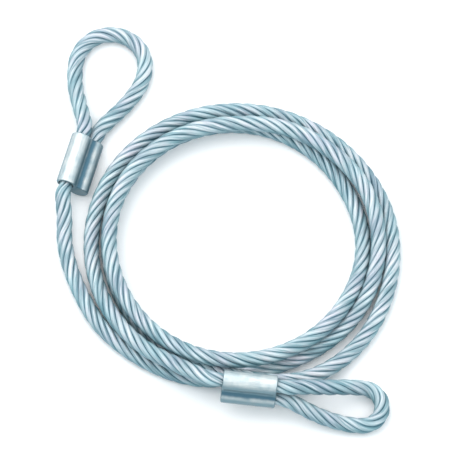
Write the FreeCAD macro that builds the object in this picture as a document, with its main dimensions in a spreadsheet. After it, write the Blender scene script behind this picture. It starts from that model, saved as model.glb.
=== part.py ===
"""Looped security cable: one length of 10 mm wire rope with a pressed eye at each end, lying coiled.

Units are millimetres. +Z is up and the floor is at z = 0. The origin is the centre of the footprint.
The rope runs from the dead end in ferrule A round eye A, back through ferrule A, down the left of the
coil, three turns round it, up into ferrule B and round eye B to the dead end in ferrule B.
"""

import FreeCAD, Part  # noqa: E401  FreeCAD has to be imported before Part

import math
import os

import Sketcher

V = FreeCAD.Vector
X_AXIS, Y_AXIS, Z_AXIS = V(1, 0, 0), V(0, 1, 0), V(0, 0, 1)

# Driving sizes. Each can be changed by itself.
SIZES = {
    "rope_dia": 10.0,  # laid wire rope, over its strands
    "squeeze": 1.6,  # what pressing takes off the rope's width
    "ferrule_length": 34.0,
    "barrel_wall": 2.1,  # metal round a pressed leg
    "leg_gap": 0.2,  # between an eye's two legs at the ferrule
    "groove_round": 3.0,  # of the groove between the barrels
    "end_round": 1.0,  # on the ferrule's outer end edges
    "mouth_gap": 0.05,  # between the rope and the rim of a flared mouth
    "end_wall": 2.4,  # metal that closes the dead-end barrel
    "coil_inner_dia": 149.0,
    "coil_outer_dia": 197.0,
    "coil_outer_round": 10.0,  # top outer edge
    "coil_inner_round": 6.0,  # top inner edge
    "coil_foot_round": 4.0,  # both edges at the floor
}

# Sizes that follow from the driving ones.
FITS = {
    "pressed_dia": "rope_dia - squeeze",  # bore of a barrel, and the rope in it
    "barrel_dia": "rope_dia - squeeze + 2 * barrel_wall",
    "leg_spacing": "rope_dia + leg_gap",  # between the two barrels' centre lines
    "mouth_flare": "squeeze / 2 + mouth_gap",  # 45 degree flare of a bore's mouth
    "coil_height": "2 * rope_dia",  # the turns lie in two layers
}

# The coil's middle on the floor.
COIL_X, COIL_Y = 8.6, -12.7

# Each ferrule's centre, the compass turn and slope of its axis, and its roll about that axis.
FERRULE_A = {"at": V(-91.4, 42.3, 9.7), "turn": -17.0, "slope": 0.0, "roll": 40.0}
FERRULE_B = {"at": V(14.3, -113.8, 22.5), "turn": -95.5, "slope": -3.5, "roll": 62.0}

# Bends of the rope where it isn't coiled, chosen by hand. They follow the straight lead out of a mouth.
EYE_A_POINTS = [
    V(-91.5, 81.1, 8.8),
    V(-95.3, 99.1, 6.0),
    V(-93.8, 119.3, 5.0),
    V(-81.3, 131.9, 5.0),
    V(-63.3, 131.9, 5.0),
    V(-50.7, 119.3, 5.0),
    V(-50.9, 101.1, 5.0),
    V(-62.1, 84.3, 5.3),
    V(-74.1, 72.3, 5.8),
]
EYE_B_POINTS = [
    V(50.5, -111.7, 21.0),
    V(63.9, -110.1, 15.8),
    V(77.7, -107.1, 10.6),
    V(89.8, -107.1, 7.4),
    V(96.9, -114.3, 6.0),
    V(96.9, -124.5, 5.4),
    V(89.7, -131.7, 5.2),
    V(78.3, -132.1, 5.4),
    V(65.3, -129.7, 7.4),
    V(52.3, -125.3, 11.4),
]
TAIL_A_POINTS = [
    V(-100.7, 7.9, 8.4),
    V(-101.3, -8.5, 5.4),
    V(-96.7, -29.5, 5.0),
    V(-87.8, -52.0, 5.2),
    V(-72.4, -70.4, 5.7),
    V(-51.0, -81.3, 6.3),
]
TAIL_B_POINTS = [
    V(-20.1, -103.1, 23.6),
    V(-33.7, -94.5, 18.6),
    V(-46.7, -84.3, 14.0),
]

# The places above suit a ferrule that stands this far out: the coil's radius and half the ferrule's width.
DRAWN_REACH = 109.9

LEAD = 8.0  # run straight out of a ferrule's mouth, before the first bend
RUN_SHARE = 0.45  # share of the shorter run that an arc takes up


def sheet_of(doc):
    sheet = doc.addObject("Spreadsheet::Sheet", "Sizes")
    cells = {name: str(value) for name, value in SIZES.items()}
    cells.update((name, f"={rule}") for name, rule in FITS.items())
    for row, (name, content) in enumerate(cells.items(), start=1):
        sheet.set(f"A{row}", name)
        sheet.set(f"B{row}", content)
        sheet.setAlias(f"B{row}", name)
    return sheet


def origin_plane(body, role):
    return next(f for f in body.Origin.OriginFeatures if f.Role == role)


def new_body(doc, label):
    body = doc.addObject("PartDesign::Body", label)
    body.Label = label
    return body


def sketch_on(body, role, name):
    sketch = body.newObject("Sketcher::SketchObject", name)
    sketch.AttachmentSupport = [(origin_plane(body, role), "")]
    sketch.MapMode = "FlatFace"
    return sketch


def dimension(sketch, kind, where, value, name, expression):
    """Adds a named size to a sketch and binds it to the sheet."""
    index = sketch.addConstraint(Sketcher.Constraint(kind, *where, value))
    sketch.renameConstraint(index, name)
    sketch.setExpression(f"Constraints.{name}", expression)


def two_barrel_outline(body, sizes):
    """Section of the sleeve: two barrels side by side, blended by a round groove above and below."""
    sketch = sketch_on(body, "XZ_Plane", "Outline")
    radius, groove = sizes.barrel_dia / 2, sizes.groove_round
    half_spacing = sizes.leg_spacing / 2
    # From a barrel's centre, the groove's centre lies at this angle above the horizontal.
    lean = math.acos(half_spacing / (radius + groove))
    groove_height = half_spacing * math.tan(lean)
    arcs = (
        (V(half_spacing, 0, 0), radius, lean - math.pi, math.pi - lean),
        (V(0, groove_height, 0), groove, lean - math.pi, -lean),
        (V(-half_spacing, 0, 0), radius, lean, 2 * math.pi - lean),
        (V(0, -groove_height, 0), groove, lean, math.pi - lean),
    )
    for centre, arc_radius, start, end in arcs:
        sketch.addGeometry(Part.ArcOfCircle(Part.Circle(centre, Z_AXIS, arc_radius), start, end))
    right, above, left, below = range(4)
    joints = ((right, 2, above, 2), (above, 1, left, 1), (left, 2, below, 2), (below, 1, right, 1))
    for joint in joints:
        sketch.addConstraint(Sketcher.Constraint("Tangent", *joint))
    sketch.addConstraint(Sketcher.Constraint("Equal", right, left))
    sketch.addConstraint(Sketcher.Constraint("Equal", above, below))
    # -1 is the sketch's horizontal axis and -2 its vertical one. 3 is an arc's centre.
    for barrel in (right, left):
        sketch.addConstraint(Sketcher.Constraint("PointOnObject", barrel, 3, -1))
    sketch.addConstraint(Sketcher.Constraint("PointOnObject", above, 3, -2))
    dimension(sketch, "Radius", (right,), radius, "barrel", "Sizes.barrel_dia / 2")
    dimension(sketch, "Radius", (above,), groove, "groove", "Sizes.groove_round")
    where = (left, 3, right, 3)
    dimension(sketch, "DistanceX", where, sizes.leg_spacing, "spacing", "Sizes.leg_spacing")
    return sketch


def bore_sketch(body, sizes, side, name):
    sketch = sketch_on(body, "XZ_Plane", name)
    middle = V(side * sizes.leg_spacing / 2, 0, 0)
    sketch.addGeometry(Part.Circle(middle, Z_AXIS, sizes.pressed_dia / 2))
    sketch.addConstraint(Sketcher.Constraint("PointOnObject", 0, 3, -1))
    dimension(sketch, "Radius", (0,), sizes.pressed_dia / 2, "bore", "Sizes.pressed_dia / 2")
    if side > 0:
        where = (-1, 1, 0, 3)
    else:
        where = (0, 3, -1, 1)
    dimension(sketch, "DistanceX", where, sizes.leg_spacing / 2, "place", "Sizes.leg_spacing / 2")
    return sketch


def bore(doc, body, sketch, name, length_rule):
    """Cuts one bore from the far end of the barrel towards the eye end, and checks that it cuts."""
    before = body.Shape.Volume
    pocket = body.newObject("PartDesign::Pocket", name)
    pocket.Profile = sketch
    pocket.Midplane = False
    pocket.Reversed = False
    pocket.setExpression("Length", length_rule)
    doc.recompute()
    if body.Shape.Volume > before - 1.0:
        pocket.Reversed = True
        doc.recompute()
    if body.Shape.Volume > before - 1.0:
        raise RuntimeError(f"{body.Label}: {name} cuts nothing")
    return pocket


def circle_edges(shape, radius, y_places):
    """Names of the full circles of one radius that lie at one of these places along the axis."""
    found = []
    for number, edge in enumerate(shape.Edges, start=1):
        curve = edge.Curve
        if not isinstance(curve, Part.Circle) or len(edge.Vertexes) > 1:
            continue
        if abs(curve.Radius - radius) < 1e-6 and any(abs(curve.Center.y - y) < 1e-6 for y in y_places):
            found.append(f"Edge{number}")
    return found


def ferrule(doc, sizes, label, live_side, place):
    """Pressed two-barrel ferrule, its axis along its own Y and its eye end at +Y.

    The live barrel is open at both ends. The other one holds the rope's dead end behind a wall.
    """
    body = new_body(doc, label)
    half = sizes.ferrule_length / 2
    outline = two_barrel_outline(body, sizes)
    pad = body.newObject("PartDesign::Pad", "Sleeve")
    pad.Profile = outline
    pad.Midplane = True
    pad.setExpression("Length", "Sizes.ferrule_length")
    doc.recompute()

    # The pad is rounded before the bores, so the only edges at its ends are the outline's own.
    ends = [
        f"Edge{number}"
        for number, edge in enumerate(pad.Shape.Edges, start=1)
        if edge.BoundBox.YLength < 1e-6
    ]
    rounding = body.newObject("PartDesign::Fillet", "EndRounds")
    rounding.Base = (pad, ends)
    rounding.setExpression("Radius", "Sizes.end_round")
    doc.recompute()

    for side in (-1, 1):
        live = side == live_side
        name = "LiveBore" if live else "DeadBore"
        sketch = bore_sketch(body, sizes, side, f"{name}Sketch")
        # The sketch moves to the eye end, and the bore runs back from there.
        sketch.setExpression("AttachmentOffset.Base.z", "-Sizes.ferrule_length / 2")
        length = "Sizes.ferrule_length"
        if not live:
            length += " - Sizes.end_wall"
        bore(doc, body, sketch, name, length)

    bore_radius = sizes.pressed_dia / 2
    mouths = circle_edges(body.Shape, bore_radius, (-half, half))
    if len(mouths) != 3:
        raise RuntimeError(f"{label}: {len(mouths)} bore mouths, not 3")
    base = body.Tip
    flare = body.newObject("PartDesign::Chamfer", "MouthFlares")
    flare.Base = (base, mouths)
    flare.setExpression("Size", "Sizes.mouth_flare")
    doc.recompute()
    body.Placement = place
    return body


def outward_step(sizes, spec):
    """How far an end of the rope moves out from its drawn place as the coil or the ferrule grows."""
    away = spec["at"] - V(COIL_X, COIL_Y, spec["at"].z)
    reach = (sizes.coil_outer_dia + sizes.leg_spacing + sizes.barrel_dia) / 2
    return away.normalize() * (reach - DRAWN_REACH)


def ferrule_place(spec, step):
    """Placement of a ferrule: rolled about its own Y, then sloped, then turned about Z."""
    roll = FreeCAD.Rotation(Y_AXIS, spec["roll"])
    slope = FreeCAD.Rotation(X_AXIS, spec["slope"])
    turn = FreeCAD.Rotation(Z_AXIS, spec["turn"])
    return FreeCAD.Placement(spec["at"] + step, turn.multiply(slope).multiply(roll))


def coil_solid(doc, sizes):
    """Ring that the rope's three turns fill: flat where it lies on the floor, rounded above."""
    body = new_body(doc, "coil_rope")
    sketch = sketch_on(body, "XZ_Plane", "RingSection")
    inner, outer = sizes.coil_inner_dia / 2, sizes.coil_outer_dia / 2
    corners = [
        V(inner, 0, 0),
        V(outer, 0, 0),
        V(outer, sizes.coil_height, 0),
        V(inner, sizes.coil_height, 0),
    ]
    for start, end in zip(corners, corners[1:] + corners[:1]):
        sketch.addGeometry(Part.LineSegment(start, end))
    for side in range(4):
        sketch.addConstraint(Sketcher.Constraint("Coincident", side, 2, (side + 1) % 4, 1))
    for side in (0, 2):
        sketch.addConstraint(Sketcher.Constraint("Horizontal", side))
    for side in (1, 3):
        sketch.addConstraint(Sketcher.Constraint("Vertical", side))
    sketch.addConstraint(Sketcher.Constraint("PointOnObject", 0, 1, -1))
    dimension(sketch, "DistanceX", (-1, 1, 0, 1), inner, "inner", "Sizes.coil_inner_dia / 2")
    dimension(sketch, "DistanceX", (-1, 1, 0, 2), outer, "outer", "Sizes.coil_outer_dia / 2")
    dimension(sketch, "DistanceY", (1, 1, 1, 2), sizes.coil_height, "tall", "Sizes.coil_height")
    ring = body.newObject("PartDesign::Revolution", "Ring")
    ring.Profile = sketch
    ring.ReferenceAxis = (sketch, ["V_Axis"])
    ring.Angle = 360.0
    doc.recompute()

    rounds = (
        ("OuterTop", "coil_outer_round", outer, sizes.coil_height),
        ("InnerTop", "coil_inner_round", inner, sizes.coil_height),
        ("OuterFoot", "coil_foot_round", outer, 0.0),
        ("InnerFoot", "coil_foot_round", inner, 0.0),
    )
    for name, size, radius, height in rounds:
        edges = [
            f"Edge{number}"
            for number, edge in enumerate(body.Shape.Edges, start=1)
            if isinstance(edge.Curve, Part.Circle)
            and abs(edge.Curve.Radius - radius) < 1e-6
            and edge.BoundBox.ZLength < 1e-6
            and abs(edge.Curve.Center.z - height) < 1e-6
        ]
        base = body.Tip
        rounding = body.newObject("PartDesign::Fillet", name)
        rounding.Base = (base, edges)
        rounding.setExpression("Radius", f"Sizes.{size}")
        doc.recompute()
    body.Placement = FreeCAD.Placement(V(COIL_X, COIL_Y, 0), FreeCAD.Rotation())
    return body


def route_wire(points, label):
    """Straight runs joined by tangent arcs, each as large as its two runs allow."""
    edges = []
    radii = []
    start = points[0]
    for before, corner, after in zip(points, points[1:], points[2:]):
        back = (before - corner).normalize()
        ahead = (after - corner).normalize()
        half_turn = (math.pi - back.getAngle(ahead)) / 2
        setback = RUN_SHARE * min(before.distanceToPoint(corner), after.distanceToPoint(corner))
        radius = setback / math.tan(half_turn)
        arc_start = corner + back * setback
        arc_end = corner + ahead * setback
        to_centre = (back + ahead).normalize()
        arc_middle = corner + to_centre * (radius / math.cos(half_turn) - radius)
        edges.append(Part.LineSegment(start, arc_start).toShape())
        edges.append(Part.Arc(arc_start, arc_middle, arc_end).toShape())
        radii.append(radius)
        start = arc_end
    edges.append(Part.LineSegment(start, points[-1]).toShape())
    wire = Part.Wire(edges)
    shown = ", ".join(f"{radius:.0f}" for radius in radii)
    print(f"{label}: length {wire.Length:.1f} mm, arc radii {shown} mm")
    return wire


def tube(points, radius, label):
    """Round rope along a route. Its volume has to be its section times its length."""
    wire = route_wire(points, label)
    start_way = (points[1] - points[0]).normalize()
    section = Part.Wire([Part.Circle(points[0], start_way, radius).toShape()])
    solid = wire.makePipeShell([section], True, False)
    expected = math.pi * radius**2 * wire.Length
    if abs(solid.Volume - expected) > 0.01 * expected:
        raise RuntimeError(f"{label}: volume {solid.Volume:.0f}, expected {expected:.0f} mm3")
    return solid


def lead(place, sizes, side, end):
    """The first two points out of a bore: the centre of its mouth, and the end of its straight lead.

    side is -1 or +1 for the barrel, and end is +1 at the eye and -1 at the tail.
    """
    across = side * sizes.leg_spacing / 2
    along = end * sizes.ferrule_length / 2
    return [place.multVec(V(across, along, 0)), place.multVec(V(across, along + end * LEAD, 0))]


def legs(place, sizes, live_side):
    """The rope inside a ferrule: squeezed in both barrels, and back to full size at each mouth."""
    half = sizes.ferrule_length / 2
    flare = sizes.mouth_flare
    pressed, full = sizes.pressed_dia / 2, sizes.rope_dia / 2
    shapes = []
    for side in (-1, 1):
        x = side * sizes.leg_spacing / 2
        live = side == live_side
        low = -half + flare if live else -half + sizes.end_wall
        shapes.append(Part.makeCylinder(pressed, half - flare - low, V(x, low, 0), Y_AXIS))
        shapes.append(Part.makeCone(pressed, full, flare, V(x, half - flare, 0), Y_AXIS))
        if live:
            shapes.append(Part.makeCone(full, pressed, flare, V(x, -half, 0), Y_AXIS))
    for shape in shapes:
        shape.Placement = place.multiply(shape.Placement)
    return shapes


def rope_node(doc, label, shape):
    node = doc.addObject("Part::Feature", label)
    node.Label = label
    node.Shape = shape
    return node


def eye(doc, sizes, label, place, points, live_side):
    """An eye's rope with both of its legs. The route goes from the live barrel to the dead one."""
    way_back = reversed(lead(place, sizes, -live_side, 1))
    route = [*lead(place, sizes, live_side, 1), *points, *way_back]
    loop = tube(route, sizes.rope_dia / 2, label)
    return rope_node(doc, label, loop.multiFuse(legs(place, sizes, live_side)).removeSplitter())


def tail(doc, sizes, label, place, points, live_side, coil):
    """Rope from a ferrule's tail mouth to the coil, trimmed to the coil's surface."""
    route = [*lead(place, sizes, live_side, -1), *points]
    outside = tube(route, sizes.rope_dia / 2, label).cut(coil.Shape)
    longest = max(outside.Solids, key=lambda solid: solid.Volume)
    return rope_node(doc, label, longest)


def check(doc, nodes):
    for item in doc.Objects:
        if "Invalid" in item.State or "Error" in item.State:
            raise RuntimeError(f"{item.Label}: {item.State}")
    for node in nodes:
        shape = node.Shape
        if shape.isNull() or not shape.isValid() or len(shape.Solids) != 1:
            raise RuntimeError(f"{node.Label}: no single valid solid")


def main():
    doc = FreeCAD.newDocument("SecurityCable")
    sizes = sheet_of(doc)
    doc.recompute()

    live = -1  # the side of the live barrel, in a ferrule's own frame
    coil = coil_solid(doc, sizes)
    nodes = [coil]
    ends = (
        ("a", FERRULE_A, EYE_A_POINTS, TAIL_A_POINTS),
        ("b", FERRULE_B, EYE_B_POINTS, TAIL_B_POINTS),
    )
    for end, spec, eye_points, tail_points in ends:
        step = outward_step(sizes, spec)
        place = ferrule_place(spec, step)
        eye_route = [point + step for point in eye_points]
        tail_route = [point + step for point in tail_points]
        nodes.append(ferrule(doc, sizes, f"ferrule_{end}", live, place))
        nodes.append(eye(doc, sizes, f"eye_{end}_rope", place, eye_route, live))
        nodes.append(tail(doc, sizes, f"tail_{end}_rope", place, tail_route, live, coil))
    doc.recompute()
    check(doc, nodes)

    os.makedirs("parts", exist_ok=True)
    for node in nodes:
        node.Shape.exportStep(f"parts/{node.Label}.step")
        box = node.Shape.BoundBox
        print(f"{node.Label}: {node.Shape.Volume / 1000:.2f} cm3, z {box.ZMin:.1f} to {box.ZMax:.1f}")


main()
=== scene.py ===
import math

import bpy
import numpy as np
from mathutils import Matrix, Vector


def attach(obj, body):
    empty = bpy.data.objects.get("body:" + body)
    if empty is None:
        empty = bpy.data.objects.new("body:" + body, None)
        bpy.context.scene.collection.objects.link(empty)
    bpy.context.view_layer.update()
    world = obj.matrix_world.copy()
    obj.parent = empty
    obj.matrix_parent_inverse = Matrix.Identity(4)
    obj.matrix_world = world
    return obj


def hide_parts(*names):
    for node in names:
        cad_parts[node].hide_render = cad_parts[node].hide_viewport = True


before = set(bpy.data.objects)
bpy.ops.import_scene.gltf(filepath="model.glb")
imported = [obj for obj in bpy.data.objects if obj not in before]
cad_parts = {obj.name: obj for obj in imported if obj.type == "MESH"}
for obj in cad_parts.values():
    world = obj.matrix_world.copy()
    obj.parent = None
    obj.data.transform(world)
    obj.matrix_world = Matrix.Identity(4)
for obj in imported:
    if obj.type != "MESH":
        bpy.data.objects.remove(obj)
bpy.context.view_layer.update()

# Lengths are in metres and angles in degrees, unless a line says otherwise.

# The rope and how it is laid: six strands of wires round a core, right-handed.
ROPE_DIA = 0.010
STRANDS = 6
STRAND_RADIUS = 0.00166
STRAND_CENTRE = 0.00332  # from the rope's middle to a strand's middle
LAY_LENGTH = 0.053  # along the rope, for one turn of a strand
CORE_RADIUS = 0.0022
WIRES = 10  # outer wires of a strand
WIRE_RELIEF = 0.00015  # depth of the grooves between wires
WIRE_SHIFT = 0.034  # along the strand, for a wire to come where its neighbour was
PRESSED_SHARE = 0.82  # of the rope's width inside a ferrule
PRESSED_RUN = 0.007  # over which it narrows, before the mouth

# How finely the rope is made.
SPLINE_STEPS = 24  # points that are read between two of the spline's own
RING_STEP = 0.00125  # between a strand's rings
POINTS_PER_WIRE = 4
CORE_POINTS = 12  # round the core
CORE_EVERY = 2  # the core has a ring for every second one of a strand

# How a strand is unrolled on its UV map: in even rows, with the two ends in one more row.
MAP_ROWS = 16
MAP_MARGIN = 0.01  # at both sides of the map, as a share of its width
ROW_MARGIN = 0.04  # above and below a row, as a share of its height
END_REACH = 0.4  # radius of an end, in rows

# How bright the wires are: streaks of one wire on top of broad bands of a whole strand.
TONE_SEED = 31
STREAK_RINGS = 7
BAND_RINGS = 16
STREAK_SPREAD = 0.30
BAND_SPREAD = 0.16

# The ferrules: the same places as in the CAD part. The live leg lies half the leg spacing to one side of
# the middle and the dead one to the other.
FERRULE_A = {"at": (-0.0914, 0.0423, 0.0097), "turn": -17.0, "slope": 0.0, "roll": 40.0}
FERRULE_B = {"at": (0.0143, -0.1138, 0.0225), "turn": -95.5, "slope": -3.5, "roll": 62.0}
FERRULE_LENGTH = 0.034
LEG_SPACING = 0.0102
LIVE, DEAD = -1, 1
MOUTH = FERRULE_LENGTH / 2
LEAD_END = MOUTH + 0.008
DEAD_END = -0.014  # where the rope stops in the closed barrel
NEAR_LEG = 0.002  # how far from a leg's line the rope still counts as the leg

# The rope's bends where it isn't coiled: the CAD part's points, with eye B's moved by up to 0.8 mm. A
# tail has only the points up to the coil's first or last station.
EYE_A_POINTS = [
    (-0.0915, 0.0811, 0.0088),
    (-0.0953, 0.0991, 0.0060),
    (-0.0938, 0.1193, 0.0050),
    (-0.0813, 0.1319, 0.0050),
    (-0.0633, 0.1319, 0.0050),
    (-0.0507, 0.1193, 0.0050),
    (-0.0509, 0.1011, 0.0050),
    (-0.0621, 0.0843, 0.0053),
    (-0.0741, 0.0723, 0.0058),
]
EYE_B_POINTS = [
    (0.0505, -0.1117, 0.0210),
    (0.0639, -0.1101, 0.0158),
    (0.0777, -0.1079, 0.0106),
    (0.0898, -0.1075, 0.0074),
    (0.0969, -0.1143, 0.0060),
    (0.0969, -0.1244, 0.0054),
    (0.0897, -0.1316, 0.0052),
    (0.0783, -0.1315, 0.0054),
    (0.0653, -0.1289, 0.0074),
    (0.0523, -0.1249, 0.0114),
]
TAIL_A_POINTS = [
    (-0.1007, 0.0079, 0.0084),
    (-0.1013, -0.0085, 0.0054),
    (-0.0967, -0.0295, 0.0050),
]
TAIL_B_POINTS = [
    (-0.0201, -0.1031, 0.0236),
    (-0.0337, -0.0945, 0.0186),
]

# The coil was laid by hand, so its turns wander. Each station is the angle gone round, counted on from
# turn to turn, the distance from the middle and the height of the rope's centre.
COIL_MIDDLE = (0.0074, -0.0070)
COIL_STEP = 12  # degrees from one control point to the next
COIL_STATIONS = [
    # First turn, on the floor, drawing in from outside ...
    (210, 0.1040, 0.0050),
    (225, 0.1012, 0.0050),
    (240, 0.0987, 0.0050),
    (255, 0.0970, 0.0050),
    (268, 0.0922, 0.0050),
    (281, 0.0882, 0.0050),
    (297, 0.0878, 0.0050),
    (318, 0.0888, 0.0050),
    (337, 0.0889, 0.0060),
    (352, 0.0882, 0.0088),
    # ... then on top of the third turn's way, at the back and the left.
    (375, 0.0864, 0.0134),
    (400, 0.0814, 0.0145),
    (425, 0.0776, 0.0150),
    (450, 0.0744, 0.0150),
    (480, 0.0760, 0.0150),
    (510, 0.0786, 0.0150),
    (540, 0.0802, 0.0150),
    # Second turn: over the crossing at the front, down inside the first, and along the floor.
    (570, 0.0822, 0.0150),
    (594, 0.0842, 0.0156),
    (608, 0.0862, 0.0196),
    (621, 0.0882, 0.0240),
    (632, 0.0876, 0.0226),
    (645, 0.0850, 0.0174),
    (658, 0.0835, 0.0149),
    (671, 0.0822, 0.0132),
    (685, 0.0800, 0.0095),
    (700, 0.0790, 0.0055),
    (716, 0.0784, 0.0050),
    (742, 0.0757, 0.0050),
    (775, 0.0756, 0.0050),
    (808, 0.0772, 0.0050),
    (844, 0.0790, 0.0050),
    (880, 0.0804, 0.0050),
    (917, 0.0816, 0.0050),
    # Third turn: out over the first one at the front, then round outside, on the floor.
    (944, 0.0838, 0.0050),
    (957, 0.0854, 0.0060),
    (970, 0.0874, 0.0108),
    (983, 0.0918, 0.0150),
    (996, 0.0982, 0.0154),
    (1009, 0.1031, 0.0116),
    (1024, 0.1038, 0.0066),
    (1040, 0.1025, 0.0050),
    (1062, 0.0989, 0.0050),
    (1084, 0.0956, 0.0050),
    (1108, 0.0912, 0.0050),
    (1136, 0.0880, 0.0050),
    (1164, 0.0871, 0.0050),
    (1200, 0.0884, 0.0050),
    (1237, 0.0903, 0.0050),
    # Then up on to the first turn, towards ferrule B.
    (1262, 0.0916, 0.0053),
    (1280, 0.0930, 0.0074),
    (1296, 0.0944, 0.0112),
    (1310, 0.0958, 0.0148),
    (1322, 0.0966, 0.0172),
]

# The picture: how high the camera stands, the floor point it looks at and the width it takes in.
CAMERA_ELEVATION = 68.0
LOOK_AT = (-0.0007, 0.0051, 0.0)
VIEW_WIDTH = 0.28125
LENS = 1.2  # long, so that there is hardly any perspective
SENSOR = 0.036
MM_PER_METRE = 1000

# The stage. A light's size is its width and height; it points at the middle of the floor.
FLOOR_HALF = 8.0
SKY_STRENGTH = 1.35
LIGHTS = {
    "key": {"at": (-0.45, 0.36, 1.05), "size": (1.3, 1.1), "power": 8.0, "colour": (1.0, 0.99, 0.98)},
    "fill": {"at": (0.8, -0.5, 1.0), "size": (1.0, 0.8), "power": 3.0, "colour": (0.96, 0.99, 1.0)},
}

# Colours. In a list, each one stands at its place between 0 and 1.
WIRE_TONES = [  # from the dullest wire to the brightest
    (0.05, (0.265, 0.370, 0.410)),
    (0.35, (0.405, 0.485, 0.520)),
    (0.62, (0.505, 0.560, 0.590)),
    (0.95, (0.640, 0.665, 0.690)),
]
WIRE_TINTS = [(0.34, (0.87, 0.97, 0.98)), (0.50, (0.98, 0.98, 0.99)), (0.66, (1.0, 0.94, 0.99))]
WIRE_WEATHER = [(0.36, (0.74, 0.84, 0.87)), (0.50, (0.90, 0.93, 0.94)), (0.62, (1.0, 1.0, 1.0))]
STRAND_GROOVE_SHADE = [  # painted shade between the strands, from the rope's outside inwards
    (0.03, (1.0, 1.0, 1.0)),
    (0.11, (0.88, 0.93, 0.94)),
    (0.20, (0.57, 0.74, 0.80)),
    (0.30, (0.20, 0.41, 0.50)),
]
ROPE_SIDE_SHADE = [  # painted shade, darkest on the rope's underside, from the underside to its top
    (0.25, (0.40, 0.56, 0.61)),
    (0.58, (0.52, 0.67, 0.70)),
    (0.74, (0.74, 0.85, 0.86)),
    (0.91, (1.0, 1.0, 1.0)),
]
SLEEVE_CLOUDS = [(0.32, (0.48, 0.57, 0.60)), (0.50, (0.61, 0.66, 0.67)), (0.68, (0.71, 0.73, 0.72))]
SLEEVE_STREAKS = [(0.30, (0.30, 0.42, 0.50)), (0.60, (1.0, 1.0, 1.0))]
# Painted shade on the ferrules: in the groove, on the steep sides and inside the mouths.
SLEEVE_GROOVE_SHADE = (0.060, 0.135, 0.185)
SLEEVE_SIDE_SHADE = (0.10, 0.19, 0.23)
SLEEVE_MOUTH_SHADE = (0.035, 0.085, 0.115)
FLOOR_TONES = [(0.0, (0.93, 0.94, 0.95)), (1.0, (0.96, 0.96, 0.97))]
SKY_TONES = [(0.0, (0.22, 0.32, 0.36)), (0.45, (0.68, 0.78, 0.81)), (0.85, (1.0, 1.0, 1.0))]

# Surfaces. A pair of roughnesses is that of the smoothest patches and that of the roughest.
WIRE_METALLIC = 0.3
WIRE_ROUGHNESS = (0.42, 0.60)
WIRE_GRAIN = {"strength": 0.25, "distance": 0.0002}
SLEEVE_METALLIC = 0.8
SLEEVE_ROUGHNESS = (0.34, 0.52)
SLEEVE_GRAIN = {"strength": 0.35, "distance": 0.0003}
FLOOR_ROUGHNESS = 0.9

# Noises: scale per metre, and detail, which is how many finer layers it has.
FLOOR_NOISE = (3.0, 2.0)
WEATHER_NOISE = (26.0, 2.0)
TINT_NOISE = (70.0, 2.0)
CLOUD_NOISE = (160.0, 4.0)
ROUGHNESS_NOISE = (420.0, 3.0)
STREAK_NOISE = (900.0, 3.0)
GRAIN_NOISE = (1500.0, 2.0)
NOISE_SPAN = (0.2, 0.8)  # where nearly all of a noise's values lie
STREAK_LENGTH = 0.12  # share of the streaks' scale that is left along the ferrule
STREAK_SHARE = 0.30  # how strongly the streaks show

# Where painted shade makes a ferrule darker: in the groove, on its steep sides and inside its mouths.
GROOVE_MIDDLE = 0.0012  # from the middle towards the dead leg, where the painted groove shade lies beside the real groove
GROOVE_FADE = (0.0030, 0.0006)  # from the groove's middle: pale beyond the first, dark within the second
GROOVE_WANDER = 0.0004
SIDE_FADE = (0.84, 0.32)  # upward part of the surface's direction, likewise
SIDE_SHARE = 0.88
MOUTH_FADE = (0.00525, 0.0049)  # from a leg's line, likewise


# ---------------------------------------------------------------- places and route


def ferrule_matrix(spec):
    """Place of a ferrule: rolled about its own Y, then sloped, then turned about Z."""
    roll = Matrix.Rotation(math.radians(spec["roll"]), 4, "Y")
    slope = Matrix.Rotation(math.radians(spec["slope"]), 4, "X")
    turn = Matrix.Rotation(math.radians(spec["turn"]), 4, "Z")
    return Matrix.Translation(spec["at"]) @ turn @ slope @ roll


def in_barrel(spec, side, along):
    """Point on a barrel's centre line."""
    return tuple(ferrule_matrix(spec) @ Vector((side * LEG_SPACING / 2, along, 0.0)))


def through_stations(column, angles):
    """A smooth run through one column of the stations (cubic Hermite)."""
    xs = np.array([station[0] for station in COIL_STATIONS], float)
    ys = np.array([station[column] for station in COIL_STATIONS], float)
    gaps = np.diff(xs)
    rates = np.diff(ys) / gaps
    slopes = np.concatenate([rates[:1], np.zeros(len(xs) - 2), rates[-1:]])
    slopes[1:-1] = (gaps[1:] * rates[:-1] + gaps[:-1] * rates[1:]) / (gaps[1:] + gaps[:-1])
    left = np.clip(np.searchsorted(xs, angles, side="right") - 1, 0, len(xs) - 2)
    gap = gaps[left]
    t = (angles - xs[left]) / gap
    start = ys[left] * (1 + 2 * t) * (1 - t) ** 2 + gap * slopes[left] * t * (1 - t) ** 2
    end = ys[left + 1] * t * t * (3 - 2 * t) + gap * slopes[left + 1] * t * t * (t - 1)
    return start + end


def coil_points():
    """The coil's control points. They stand out a little, because the spline passes inside them."""
    angles = np.arange(COIL_STATIONS[0][0], COIL_STATIONS[-1][0] - COIL_STEP / 2, COIL_STEP, float)
    radii = through_stations(1, angles) / math.cos(math.radians(COIL_STEP / 2))
    heights = through_stations(2, angles)
    turned = np.radians(angles)
    return [
        (COIL_MIDDLE[0] + radius * math.cos(angle), COIL_MIDDLE[1] + radius * math.sin(angle), height)
        for radius, angle, height in zip(radii, turned, heights)
    ]


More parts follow.
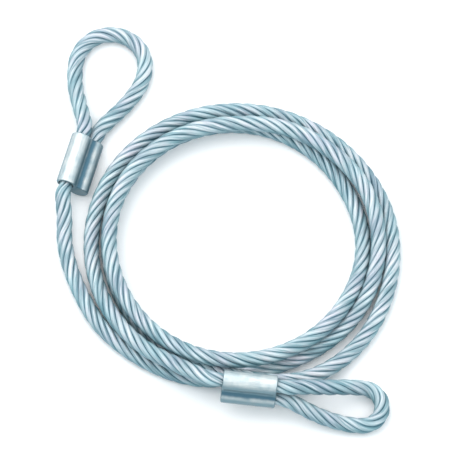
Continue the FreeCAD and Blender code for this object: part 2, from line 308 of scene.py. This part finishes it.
def route_points():
    """The whole rope, from the dead end in ferrule A to the dead end in ferrule B."""
    return [
        in_barrel(FERRULE_A, DEAD, DEAD_END),
        in_barrel(FERRULE_A, DEAD, MOUTH),
        in_barrel(FERRULE_A, DEAD, LEAD_END),
        *reversed(EYE_A_POINTS),
        in_barrel(FERRULE_A, LIVE, LEAD_END),
        in_barrel(FERRULE_A, LIVE, MOUTH),
        in_barrel(FERRULE_A, LIVE, -MOUTH),
        in_barrel(FERRULE_A, LIVE, -LEAD_END),
        *TAIL_A_POINTS,
        *coil_points(),
        *reversed(TAIL_B_POINTS),
        in_barrel(FERRULE_B, LIVE, -LEAD_END),
        in_barrel(FERRULE_B, LIVE, -MOUTH),
        in_barrel(FERRULE_B, LIVE, MOUTH),
        in_barrel(FERRULE_B, LIVE, LEAD_END),
        *EYE_B_POINTS,
        in_barrel(FERRULE_B, DEAD, LEAD_END),
        in_barrel(FERRULE_B, DEAD, MOUTH),
        in_barrel(FERRULE_B, DEAD, DEAD_END),
    ]


def spline_line(points):
    """Points along the NURBS spline that has these control points."""
    curve = bpy.data.curves.new("route", "CURVE")
    curve.dimensions = "3D"
    spline = curve.splines.new("NURBS")
    spline.points.add(len(points) - 1)
    for control, point in zip(spline.points, points):
        control.co = (*point, 1.0)
    spline.order_u = 3
    spline.use_endpoint_u = True
    spline.resolution_u = SPLINE_STEPS
    holder = bpy.data.objects.new("route", curve)
    mesh = bpy.data.meshes.new_from_object(holder)
    line = np.array([vertex.co for vertex in mesh.vertices], float)
    bpy.data.meshes.remove(mesh)
    bpy.data.objects.remove(holder)
    bpy.data.curves.remove(curve)
    return line


# ---------------------------------------------------------------- rope


def even_steps(line, step):
    """The same line with its points an even step apart, and each point's distance along it."""
    travelled = np.concatenate([[0.0], np.cumsum(np.linalg.norm(np.diff(line, axis=0), axis=1))])
    count = int(round(travelled[-1] / step))
    along = np.linspace(0.0, travelled[-1], count + 1)
    spaced = np.stack([np.interp(along, travelled, line[:, axis]) for axis in range(3)], axis=1)
    return spaced, along


def untwisted_frames(line):
    """Tangent, and two directions across the line that turn with it and don't twist."""
    tangents = np.gradient(line, axis=0)
    tangents /= np.linalg.norm(tangents, axis=1)[:, None]
    across = np.zeros_like(line)
    first = np.cross(tangents[0], (0.0, 0.0, 1.0))
    across[0] = first / np.linalg.norm(first)
    for i in range(1, len(line)):
        leaning = across[i - 1] - tangents[i] * np.dot(across[i - 1], tangents[i])
        across[i] = leaning / np.linalg.norm(leaning)
    return tangents, across, np.cross(tangents, across)


def squeeze_of(line):
    """The rope's width as a share of its full one: it narrows towards a ferrule's mouths."""
    share = np.ones(len(line))
    for spec in (FERRULE_A, FERRULE_B):
        inverse = np.array(ferrule_matrix(spec).inverted())
        local = line @ inverse[:3, :3].T + inverse[:3, 3]
        off_leg = np.abs(np.abs(local[:, 0]) - LEG_SPACING / 2)
        near_leg = (off_leg < NEAR_LEG) & (np.abs(local[:, 2]) < NEAR_LEG)
        depth = np.clip((MOUTH + PRESSED_RUN - np.abs(local[:, 1])) / PRESSED_RUN, 0.0, 1.0)
        eased = depth * depth * (3 - 2 * depth)
        share = np.where(near_leg, 1 - (1 - PRESSED_SHARE) * eased, share)
    return share


def smoothed(values, reach):
    """Running average along the first axis; reach is how many values it takes in to each side."""
    window = np.hanning(2 * reach + 1)
    window /= window.sum()
    before, after = values[:1].repeat(reach, axis=0), values[-1:].repeat(reach, axis=0)
    padded = np.concatenate([before, values, after])
    return np.stack([np.convolve(padded[:, i], window, "valid") for i in range(values.shape[1])], axis=1)


def wire_tones(number, rings):
    """How bright each wire of a strand is along its length, from 0 to 1: zinc weathers in streaks."""
    random = np.random.default_rng(TONE_SEED + number)
    streaks = smoothed(random.uniform(-1.0, 1.0, (rings, WIRES)), STREAK_RINGS)
    bands = smoothed(random.uniform(-1.0, 1.0, (rings, 1)), BAND_RINGS)
    tones = 0.5 + STREAK_SPREAD * streaks / streaks.std() + BAND_SPREAD * bands / bands.std()
    return np.clip(tones, 0.0, 1.0)


def lay_out(mesh, count, around):
    """Unrolls the tube into even rows on a UV map, so that a picture baked from it isn't stretched.

    The tube has count rings of around points. Its two ends lie side by side in the top row, as discs.
    """
    rows = MAP_ROWS + 1
    per_row = math.ceil((count - 1) / MAP_ROWS)
    ring = np.arange(count - 1)[:, None, None]
    corner = np.arange(around)[None, :, None]
    in_row = (ring % per_row + np.array([0, 0, 1, 1])) / per_row
    up_row = (corner + np.array([0, 1, 1, 0])) / around
    u = MAP_MARGIN + (1 - 2 * MAP_MARGIN) * in_row
    v = (ring // per_row + ROW_MARGIN + (1 - 2 * ROW_MARGIN) * up_row) / rows
    sides = np.stack(np.broadcast_arrays(u, v), axis=-1).reshape(-1, 2)

    turn = 2 * math.pi * (np.arange(2 * around)[:, None] + np.array([0, 1, 0])) / around
    reach = END_REACH * np.array([1, 1, 0])
    discs = np.stack([0.5 + reach * np.cos(turn), 0.5 + reach * np.sin(turn)], axis=-1)
    discs[around:, :, 0] += 2
    ends = (discs + np.array([0, MAP_ROWS])).reshape(-1, 2) / rows
    layer = mesh.uv_layers.new(name="OFBake")
    layer.data.foreach_set("uv", np.concatenate([sides, ends]).ravel().astype(np.float32))


def tube_mesh(name, rings, looks):
    """Closed tube through rings of points (ring, point, xyz). Each look is a number for each point."""
    count, around = rings.shape[:2]
    ring = np.arange(count - 1)[:, None] * around
    corner = np.arange(around)[None, :]
    after = (corner + 1) % around
    quads = np.stack(
        [ring + corner, ring + after, ring + around + after, ring + around + corner], axis=-1
    ).reshape(-1, 4)
    middle = np.stack([rings[0].mean(axis=0), rings[-1].mean(axis=0)])
    points = np.concatenate([rings.reshape(-1, 3), middle])
    first, last = count * around, count * around + 1
    end = (count - 1) * around
    caps = [(int(after[0, i]), i, first) for i in range(around)]
    caps += [(end + i, end + int(after[0, i]), last) for i in range(around)]
    mesh = bpy.data.meshes.new(name)
    mesh.from_pydata(points.tolist(), [], quads.tolist() + caps)
    lay_out(mesh, count, around)
    at_middles = (0.5, 0.5)
    for label, values in looks.items():
        layer = mesh.attributes.new(label, "FLOAT", "POINT")
        layer.data.foreach_set("value", np.append(values.ravel(), at_middles).astype(np.float32))
    mesh.polygons.foreach_set("use_smooth", [True] * len(mesh.polygons))
    mesh.update()
    piece = bpy.data.objects.new(name, mesh)
    bpy.context.scene.collection.objects.link(piece)
    return piece


def strand(number, line, along, frames, share):
    """One strand: a bundle of wires that winds round the rope's centre line.

    Its points carry depth, from 0 outside to 1 in the rope's middle, tone, how bright the wire is, and
    lift, from 0 on the rope's underside to 1 on its top. The material paints shade from depth and lift.
    """
    _, across, up = frames
    phase = 2 * math.pi * (number / STRANDS + along / LAY_LENGTH)
    cosine, sine = np.cos(phase)[:, None], np.sin(phase)[:, None]
    outward = cosine * across + sine * up
    sideways = cosine * up - sine * across
    centre = line + outward * (STRAND_CENTRE * share)[:, None]

    way = np.gradient(centre, axis=0)
    way /= np.linalg.norm(way, axis=1)[:, None]
    side = sideways - way * np.sum(sideways * way, axis=1)[:, None]
    side /= np.linalg.norm(side, axis=1)[:, None]
    out = np.cross(side, way)

    around = WIRES * POINTS_PER_WIRE
    angle = 2 * math.pi * np.arange(around)[None, :] / around
    on_wires = angle + 2 * math.pi * along[:, None] / WIRE_SHIFT / WIRES
    ridge = np.abs(np.cos(WIRES * on_wires / 2))
    radius = (STRAND_RADIUS - WIRE_RELIEF * (1 - ridge)) * share[:, None]
    rings = (
        centre[:, None, :]
        + (radius * np.cos(angle))[:, :, None] * out[:, None, :]
        + (radius * np.sin(angle))[:, :, None] * side[:, None, :]
    )
    from_middle = rings - line[:, None, :]
    reach = np.linalg.norm(from_middle, axis=2)
    depths = np.clip(1 - reach / (ROPE_DIA / 2 * share[:, None]), 0.0, 1.0)
    lift = 0.5 + 0.5 * from_middle[:, :, 2] / reach

    wire = np.floor(on_wires / (2 * math.pi) * WIRES + 0.5).astype(int) % WIRES
    tones = np.take_along_axis(wire_tones(number, len(line)), wire, axis=1)
    return tube_mesh(f"strand_{number + 1}", rings, {"depth": depths, "tone": tones, "lift": lift})


def core(line, frames, share):
    """The straight strand in the rope's middle, which the others hide: a plain tube."""
    _, across, up = frames
    angle = 2 * math.pi * np.arange(CORE_POINTS)[None, :] / CORE_POINTS
    radius = CORE_RADIUS * share[:, None]
    rings = (
        line[:, None, :]
        + (radius * np.cos(angle))[:, :, None] * across[:, None, :]
        + (radius * np.sin(angle))[:, :, None] * up[:, None, :]
    )
    # depth 1 gives the core the darkest painted shade of the strand grooves
    full = np.ones(rings.shape[:2])
    return tube_mesh("rope_core", rings, {"depth": full, "tone": full / 2, "lift": full / 2})


def wire_rope():
    """The rope's pieces, the centre line that they follow and its length."""
    route = spline_line(route_points())
    line, along = even_steps(route, RING_STEP)
    frames = untwisted_frames(line)
    share = squeeze_of(line)
    strands = [strand(number, line, along, frames, share) for number in range(STRANDS)]
    coarse = slice(None, None, CORE_EVERY)
    coarse_frames = [directions[coarse] for directions in frames]
    middle = core(line[coarse], coarse_frames, share[coarse])
    return strands, middle, line, float(along[-1])


# ---------------------------------------------------------------- shader nodes


def new_material(name):
    """A material, its node tree and its Principled shader."""
    material = bpy.data.materials.new(name)
    material.use_nodes = True
    return material, material.node_tree, material.node_tree.nodes["Principled BSDF"]


def own_place(tree):
    """The surface's place in the object's own space."""
    return tree.nodes.new("ShaderNodeTexCoord").outputs["Object"]


def noise(tree, spec, place=None):
    texture = tree.nodes.new("ShaderNodeTexNoise")
    texture.inputs["Scale"].default_value, texture.inputs["Detail"].default_value = spec
    tree.links.new(place or own_place(tree), texture.inputs["Vector"])
    return texture.outputs["Fac"]


def ramp(tree, source, stops):
    """The colour that stops give at each of the source's values."""
    node = tree.nodes.new("ShaderNodeValToRGB")
    while len(node.color_ramp.elements) < len(stops):
        node.color_ramp.elements.new(0.5)
    for element, (position, colour) in zip(node.color_ramp.elements, stops):
        element.position = position
        element.color = (*colour, 1.0)
    tree.links.new(source, node.inputs["Fac"])
    return node.outputs["Color"]


def multiplied(tree, share, first, second):
    """The first colour, made darker by a share of the second."""
    node = tree.nodes.new("ShaderNodeMix")
    node.data_type = "RGBA"
    node.blend_type = "MULTIPLY"
    node.inputs["Factor"].default_value = share
    tree.links.new(first, node.inputs["A"])
    tree.links.new(second, node.inputs["B"])
    return node.outputs["Result"]


def tinged(tree, where, first, colour):
    """The first colour, and this one instead where the number is 1."""
    node = tree.nodes.new("ShaderNodeMix")
    node.data_type = "RGBA"
    node.inputs["B"].default_value = (*colour, 1.0)
    tree.links.new(where, node.inputs["Factor"])
    tree.links.new(first, node.inputs["A"])
    return node.outputs["Result"]


def map_range(tree, source, span, low=0.0, high=1.0, smooth=False):
    """span is the source's two values that give low and high."""
    node = tree.nodes.new("ShaderNodeMapRange")
    node.interpolation_type = "SMOOTHSTEP" if smooth else "LINEAR"
    node.inputs["From Min"].default_value = span[0]
    node.inputs["From Max"].default_value = span[1]
    node.inputs["To Min"].default_value = low
    node.inputs["To Max"].default_value = high
    tree.links.new(source, node.inputs["Value"])
    return node.outputs["Result"]


def math_node(tree, operation, first, second=None):
    """The second may be a number."""
    node = tree.nodes.new("ShaderNodeMath")
    node.operation = operation
    tree.links.new(first, node.inputs[0])
    if isinstance(second, float):
        node.inputs[1].default_value = second
    elif second is not None:
        tree.links.new(second, node.inputs[1])
    return node.outputs["Value"]


def vector_math(tree, operation, source, value):
    """The value is a plain vector."""
    node = tree.nodes.new("ShaderNodeVectorMath")
    node.operation = operation
    node.inputs[1].default_value = value
    tree.links.new(source, node.inputs[0])
    return node.outputs["Vector"]


def split(tree, vector):
    """The x, y and z of a vector."""
    node = tree.nodes.new("ShaderNodeSeparateXYZ")
    tree.links.new(vector, node.inputs["Vector"])
    return node.outputs["X"], node.outputs["Y"], node.outputs["Z"]


def point_value(tree, name):
    """A number that the mesh's points carry."""
    node = tree.nodes.new("ShaderNodeAttribute")
    node.attribute_name = name
    return node.outputs["Fac"]


def bump(tree, shader, height, strength, distance):
    node = tree.nodes.new("ShaderNodeBump")
    node.inputs["Strength"].default_value = strength
    node.inputs["Distance"].default_value = distance
    tree.links.new(height, node.inputs["Height"])
    tree.links.new(node.outputs["Normal"], shader.inputs["Normal"])


# ---------------------------------------------------------------- materials


def zinc_wire():
    """Galvanised wire: each wire its own pale blue-grey, with painted shade dark blue-green down between
    the strands and on the rope's underside.
    """
    material, tree, shader = new_material("zinc_wire")
    colour = ramp(tree, point_value(tree, "tone"), WIRE_TONES)
    colour = multiplied(tree, 1.0, colour, ramp(tree, noise(tree, TINT_NOISE), WIRE_TINTS))
    colour = multiplied(tree, 1.0, colour, ramp(tree, noise(tree, WEATHER_NOISE), WIRE_WEATHER))
    # painted shade down between the strands
    colour = multiplied(tree, 1.0, colour, ramp(tree, point_value(tree, "depth"), STRAND_GROOVE_SHADE))
    # painted shade on the rope's underside and sides
    colour = multiplied(tree, 1.0, colour, ramp(tree, point_value(tree, "lift"), ROPE_SIDE_SHADE))
    tree.links.new(colour, shader.inputs["Base Color"])
    rough = map_range(tree, noise(tree, ROUGHNESS_NOISE), NOISE_SPAN, *WIRE_ROUGHNESS)
    tree.links.new(rough, shader.inputs["Roughness"])
    shader.inputs["Metallic"].default_value = WIRE_METALLIC
    bump(tree, shader, noise(tree, GRAIN_NOISE), **WIRE_GRAIN)
    return material


def ferrule_place(tree, spec):
    """The surface's place in a ferrule's own axes: x across both barrels, y along them, z through."""
    matrix = ferrule_matrix(spec)
    shifted = vector_math(tree, "SUBTRACT", own_place(tree), matrix.to_translation())
    turned = tree.nodes.new("ShaderNodeVectorRotate")
    turned.rotation_type = "EULER_XYZ"
    turned.invert = True
    turned.inputs["Rotation"].default_value = matrix.to_euler("XYZ")
    tree.links.new(shifted, turned.inputs["Vector"])
    return turned.outputs["Vector"]


def groove_shade(tree, x, clouds):
    """1 in the groove between the barrels, where shade is painted, with an edge that wanders."""
    off_groove = math_node(tree, "ABSOLUTE", math_node(tree, "SUBTRACT", x, GROOVE_MIDDLE))
    wander = map_range(tree, clouds, NOISE_SPAN, -GROOVE_WANDER, GROOVE_WANDER)
    return map_range(tree, math_node(tree, "ADD", off_groove, wander), GROOVE_FADE, smooth=True)


def side_shade(tree):
    """Painted shade: rises to SIDE_SHARE where the surface is steep."""
    _, _, upward = split(tree, tree.nodes.new("ShaderNodeNewGeometry").outputs["Normal"])
    return map_range(tree, upward, SIDE_FADE, 0.0, SIDE_SHARE, smooth=True)


def mouth_shade(tree, x, y, z):
    """1 inside the open mouths, where shade is painted. The dead barrel, where x is above 0, is closed
    where y is below 0.
    """
    off_leg = math_node(tree, "SUBTRACT", math_node(tree, "ABSOLUTE", x), LEG_SPACING / 2)
    squares = [math_node(tree, "MULTIPLY", value, value) for value in (off_leg, z)]
    from_leg = math_node(tree, "SQRT", math_node(tree, "ADD", *squares))
    inside = map_range(tree, from_leg, MOUTH_FADE, smooth=True)
    live = math_node(tree, "LESS_THAN", x, 0.0)
    front = math_node(tree, "GREATER_THAN", y, 0.0)
    return math_node(tree, "MULTIPLY", inside, math_node(tree, "MAXIMUM", live, front))


def pressed_sleeve(spec, name):
    """Ferrule metal: satin and pale on the barrels' crowns, with painted shade making it dull blue-green
    in the groove, on the steep sides and inside the mouths.
    """
    material, tree, shader = new_material(name)
    place = ferrule_place(tree, spec)
    x, y, z = split(tree, place)
    stretched = vector_math(tree, "MULTIPLY", place, (1.0, STREAK_LENGTH, 1.0))
    streaks = noise(tree, STREAK_NOISE, stretched)
    clouds = noise(tree, CLOUD_NOISE)

    colour = ramp(tree, clouds, SLEEVE_CLOUDS)
    colour = multiplied(tree, STREAK_SHARE, colour, ramp(tree, streaks, SLEEVE_STREAKS))
    # painted shade in the groove between the barrels
    colour = tinged(tree, groove_shade(tree, x, clouds), colour, SLEEVE_GROOVE_SHADE)
    # painted shade on the steep sides
    colour = tinged(tree, side_shade(tree), colour, SLEEVE_SIDE_SHADE)
    # painted shade inside the mouths
    colour = tinged(tree, mouth_shade(tree, x, y, z), colour, SLEEVE_MOUTH_SHADE)
    tree.links.new(colour, shader.inputs["Base Color"])
    rough = map_range(tree, streaks, NOISE_SPAN, *SLEEVE_ROUGHNESS)
    tree.links.new(rough, shader.inputs["Roughness"])
    shader.inputs["Metallic"].default_value = SLEEVE_METALLIC
    bump(tree, shader, streaks, **SLEEVE_GRAIN)
    return material


def pale_floor():
    material, tree, shader = new_material("pale_floor")
    tone = ramp(tree, noise(tree, FLOOR_NOISE), FLOOR_TONES)
    tree.links.new(tone, shader.inputs["Base Color"])
    shader.inputs["Roughness"].default_value = FLOOR_ROUGHNESS
    return material


def give(piece, material):
    piece.data.materials.clear()
    piece.data.materials.append(material)


# ---------------------------------------------------------------- stage


def camera():
    """Looks at LOOK_AT from the front, as far away as makes it take in VIEW_WIDTH."""
    data = bpy.data.cameras.new("camera")
    data.sensor_width = SENSOR * MM_PER_METRE
    data.lens = LENS * MM_PER_METRE
    data.clip_start, data.clip_end = 0.1, 100.0
    distance = VIEW_WIDTH * LENS / SENSOR
    elevation = math.radians(CAMERA_ELEVATION)
    back = Vector((0.0, -math.cos(elevation), math.sin(elevation)))
    holder = bpy.data.objects.new("camera", data)
    holder.location = Vector(LOOK_AT) + back * distance
    holder.rotation_euler = (math.pi / 2 - elevation, 0.0, 0.0)
    bpy.context.scene.collection.objects.link(holder)
    bpy.context.scene.camera = holder


def area_light(name, spec):
    data = bpy.data.lights.new(name, "AREA")
    data.shape = "RECTANGLE"
    data.size, data.size_y = spec["size"]
    data.energy = spec["power"]
    data.color = spec["colour"]
    holder = bpy.data.objects.new(name, data)
    holder.location = spec["at"]
    holder.rotation_euler = (-Vector(spec["at"])).to_track_quat("-Z", "Y").to_euler()
    bpy.context.scene.collection.objects.link(holder)


def studio_sky():
    """A tent of light: bright overhead, blue-green and dim towards the horizon."""
    world = bpy.data.worlds.new("studio")
    world.use_nodes = True
    tree = world.node_tree
    _, _, height = split(tree, tree.nodes.new("ShaderNodeTexCoord").outputs["Generated"])
    background = tree.nodes["Background"]
    tree.links.new(ramp(tree, height, SKY_TONES), background.inputs["Color"])
    background.inputs["Strength"].default_value = SKY_STRENGTH
    bpy.context.scene.world = world


def studio():
    half = FLOOR_HALF
    corners = [(-half, -half, 0.0), (half, -half, 0.0), (half, half, 0.0), (-half, half, 0.0)]
    mesh = bpy.data.meshes.new("floor")
    mesh.from_pydata(corners, [], [(0, 1, 2, 3)])
    floor = bpy.data.objects.new("floor", mesh)
    bpy.context.scene.collection.objects.link(floor)
    give(floor, pale_floor())
    studio_sky()
    for name, spec in LIGHTS.items():
        area_light(name, spec)
    bpy.context.scene.view_settings.view_transform = "Standard"


def main():
    camera()
    studio()
    strands, middle, path, length = wire_rope()
    wire = zinc_wire()
    for piece in (*strands, middle):
        give(piece, wire)
        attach(piece, "root")
    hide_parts("coil_rope", "eye_a_rope", "eye_b_rope", "tail_a_rope", "tail_b_rope")
    give(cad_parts["ferrule_a"], pressed_sleeve(FERRULE_A, "pressed_sleeve_a"))
    give(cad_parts["ferrule_b"], pressed_sleeve(FERRULE_B, "pressed_sleeve_b"))


main()
